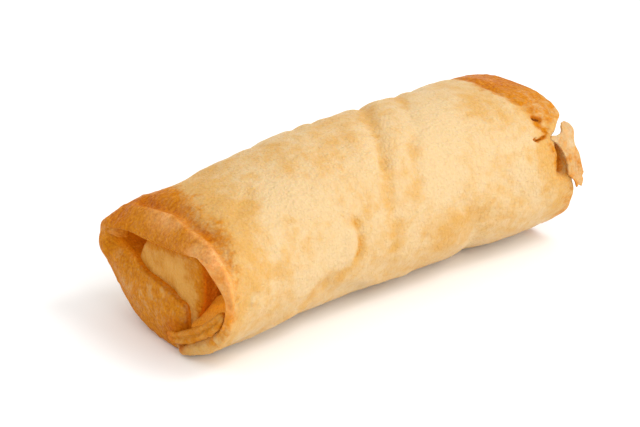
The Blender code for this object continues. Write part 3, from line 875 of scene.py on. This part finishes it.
# ---------------------------------------------------------------------------------------------------------
# Crumple: the wrapper's gathered corner, tucked in under the top layer at the opening's left end.
crumple_rows = ribbon_rows(
    ((-47.5, 19.4, 19.9), (-47.3, 18.0, 19.5), (-47.1, 16.6, 19.1), (-46.4, 15.4, 18.8), (-45.0, 14.4, 18.9)),
    (0, 0.1, 1),
    1.4,
    0.6,
)
crumple_rows += 0.4 * noise(crumple_rows, 1.7, 41)[..., None]
crumple_rows[..., 2] -= FLATTENED
crumple = grid_sheet("crumple", crumple_rows)
crumple.data.materials.append(dough)
place = places_of(crumple)
# Painted shade, with a little painted glow, further in; faintly rosy.
shadow = 0.3 + 0.5 * smooth(-47.0, -45.0, place[:, 0])
browned = 0.85 + 0.4 * noise(place, 1.4, 42)
toast_and_paint_light(crumple, golden=1, browned=browned, dark=shadow, blush=0.15, lit=0.4 * shadow)
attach(crumple, "root")
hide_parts("roll")

# ---------------------------------------------------------------------------------------------------------
# Far roll: the end of the rolled-up layers inside the far end, with the seam that winds in to its middle.
FAR_OUTLINE = (
    (10.2, 18.0), (9.4, 22.0), (6.0, 25.4), (0.4, 27.0), (-5.0, 26.8), (-9.8, 25.0), (-13.2, 21.0),
    (-14.0, 16.6), (-12.8, 12.2), (-9.4, 9.4), (-4.8, 9.0), (0.5, 10.6), (5.4, 12.6), (9.0, 15.0),
)
far_rows = cap_rows(FAR_OUTLINE, -43.4, -39.0, 1.2, 1.6) * (-1, 1, 1)
far_rows[..., 1:] += 0.4 * noise(far_rows, 3.5, 16)[..., None]
WINDING_STEPS = 240
winding = np.radians(np.linspace(-35, 560, WINDING_STEPS))
reach = np.linspace(10.6, 2.4, WINDING_STEPS) + 0.35 * np.sin(2.3 * winding) + 0.2 * np.sin(5.1 * winding)
seam = np.column_stack([reach * np.cos(winding) - 2.0, 0.78 * reach * np.sin(winding) + 18.0])
seam_distances = np.linalg.norm(far_rows[:, :, None, 1:] - seam, axis=-1)
to_seam = seam_distances.min(axis=-1)
step_in = np.linspace(1.2, 0, WINDING_STEPS)[seam_distances.argmin(axis=-1)]
front = smooth(41.0, 43.0, far_rows[..., 0])
far_rows[..., 0] -= front * (1.5 * np.exp(-((to_seam / 0.55) ** 2)) + 0.5 * step_in)
far_rows[..., 0] += front * 0.35 * noise(far_rows, 3.0, 17)
far_rows[..., 2] -= FLATTENED
far_roll = grid_sheet("far_roll", far_rows)
far_roll.data.materials.append(fried_dough("coiled_dough", TAN, HONEY, BROWN, colour(176, 88, 12), 0.8))
place = places_of(far_roll)
# Painted shade: browner and darker in the seam's groove and further into the end.
from_seam = np.linalg.norm(place[:, None, 1:] + (0, FLATTENED) - seam, axis=-1).min(axis=-1)
groove = np.maximum(1 - smooth(0.2, 0.9, from_seam), 1 - smooth(41.0, 42.8, place[:, 0]))
browned = 0.5 + 0.4 * noise(place, 2.5, 19) + groove
toast_and_paint_light(far_roll, golden=0.5 + 0.5 * noise(place, 4.0, 18), browned=browned, dark=0.6 * groove)
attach(far_roll, "root")
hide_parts("roll")

# ---------------------------------------------------------------------------------------------------------
# Flake: a brittle piece of the outer layer that has cracked away from the far rim and stands off it. Its
# torn outline, in mm along X and degrees round, is filled, thickened and wrapped onto the roll.
FLAKE_OUTLINE = (
    (44.6, 148), (44.9, 145.6), (45.9, 143.4), (47.3, 142.6), (48.1, 145), (48.0, 150), (47.6, 155),
    (47.5, 159), (48.0, 164), (48.3, 168), (48.9, 174), (49.3, 178), (48.7, 180), (48.9, 182),
    (48.4, 186.5), (47.4, 184.5), (46.9, 186), (46.2, 181), (45.3, 178.5), (44.5, 176), (44.4, 170),
    (43.9, 164), (43.4, 160), (42.6, 155), (41.4, 151.6), (42.0, 149.6), (43.3, 150.4), (44.2, 149.6),
)
FLAKE_THICKNESS = 0.56
# How far the flake stands off the roll: mm along X, and mm outwards.
FLAKE_LIFT = ((41, 0.0), (42, 0.1), (43.6, 0.35), (45, 0.5), (47, 0.25), (50, 0.1))
deselect_all()
bpy.ops.mesh.primitive_circle_add(vertices=len(FLAKE_OUTLINE), radius=1, fill_type="NGON")
flake = bpy.context.object
flake.name = flake.data.name = "far_flake"
underneath = -FLAKE_THICKNESS / 2
corners = np.array([(along, degrees * MM_PER_DEGREE, underneath) for along, degrees in FLAKE_OUTLINE])
flake.data.vertices.foreach_set("co", corners.ravel() * MM)
bpy.ops.object.mode_set(mode="EDIT")
bpy.ops.mesh.select_all(action="SELECT")
bpy.ops.mesh.extrude_region_move(TRANSFORM_OT_translate={"value": (0, 0, FLAKE_THICKNESS * MM)})
bpy.ops.mesh.select_all(action="SELECT")
bpy.ops.mesh.normals_make_consistent(inside=False)
bpy.ops.object.mode_set(mode="OBJECT")
remesh = flake.modifiers.new("even", "REMESH")
remesh.mode = "VOXEL"
remesh.voxel_size = 0.1 * MM
relax = flake.modifiers.new("worn_edges", "SMOOTH")
relax.factor, relax.iterations = 0.5, 3
for modifier in ("even", "worn_edges"):
    bpy.ops.object.modifier_apply(modifier=modifier)
flat = places_of(flake)
degrees = flat[:, 1] / MM_PER_DEGREE
points = section(np.clip(flat[:, 0], -49, 49), degrees)
points[:, 0] = flat[:, 0]
lift = flat[:, 2] + at(FLAKE_LIFT, flat[:, 0])[:, 0] + 0.3 * noise(flat[:, :2] @ np.eye(2, 3), 2.6, 51)
lift += 0.5 * smooth(176, 186, degrees) - 0.5 * (1 - smooth(143, 150, degrees)) * smooth(45, 47, flat[:, 0])
points[:, 1] += lift * np.cos(np.radians(degrees))
points[:, 2] += lift * np.sin(np.radians(degrees)) - FLATTENED
flake.data.vertices.foreach_set("co", (points * MM).astype(np.float32).ravel())
bpy.ops.object.shade_smooth()
flake_dough = fried_dough("flake_dough", colour(200, 176, 138), colour(198, 155, 98), BROWN, AMBER)
flake.data.materials.append(flake_dough)
place = points
lower = smooth(156, 172, degrees)
golden = 0.75 + 0.6 * lower + 0.4 * noise(place, 2.0, 52)
toast_and_paint_light(flake, golden=golden, browned=0.26 + 0.34 * lower + 0.35 * noise(place, 1.5, 53), blush=0.05)
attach(flake, "root")
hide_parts("roll")
